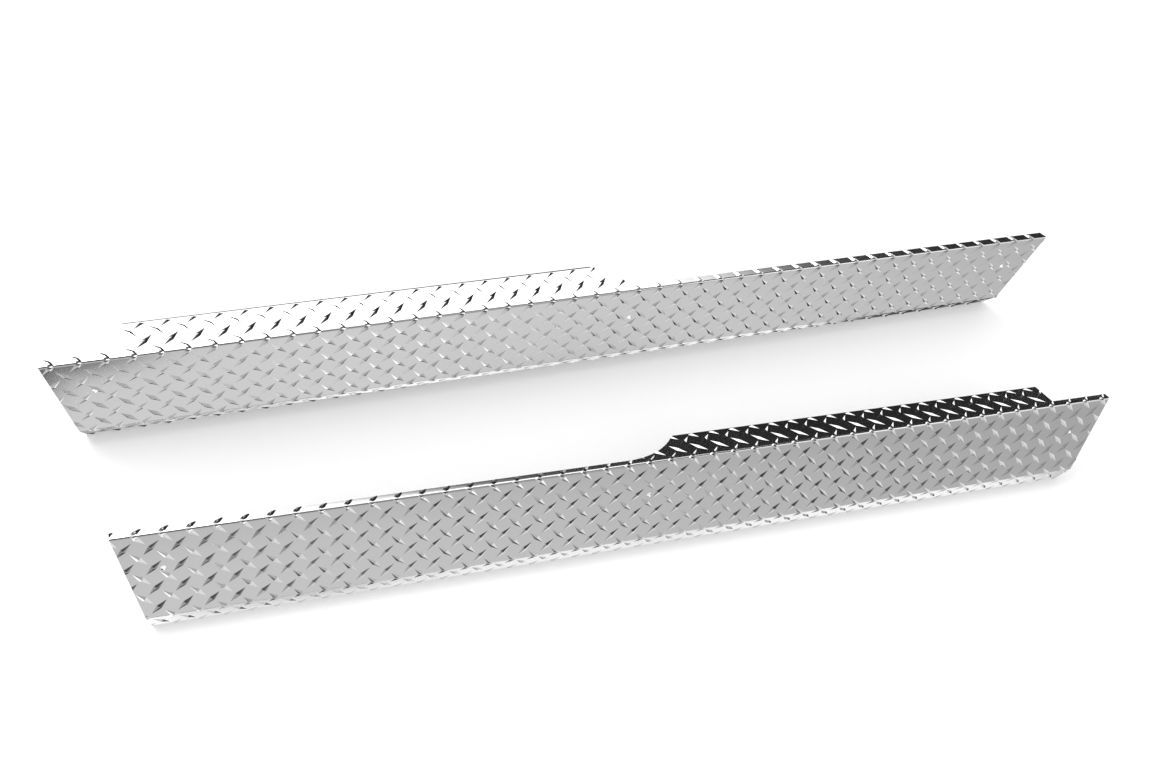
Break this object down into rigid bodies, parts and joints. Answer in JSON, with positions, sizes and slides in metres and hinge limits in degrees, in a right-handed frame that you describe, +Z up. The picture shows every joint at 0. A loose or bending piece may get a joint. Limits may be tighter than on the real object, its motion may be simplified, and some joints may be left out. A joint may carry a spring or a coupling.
{
  "type": "running board",
  "caption": "Left and right running boards folded from aluminium tread plate, each with a tapered face, a top ledge widening into a deck with a lip, and a foot flange.",
  "frame": {"origin": "middle of the floor area that the standing pair covers, at floor level", "axes": "+X along the boards towards the front board's deck end, +Y back from the front board's outer face, +Z up"},
  "size_m": [1.2214, 0.3098, 0.1206],
  "materials": {
    "tread_plate": "bright rolled tread plate, smooth between the lugs"
  },
  "bodies": {
    "root": {"front_board": "tread_plate", "rear_board": "tread_plate"}
  },
  "joints": []
}
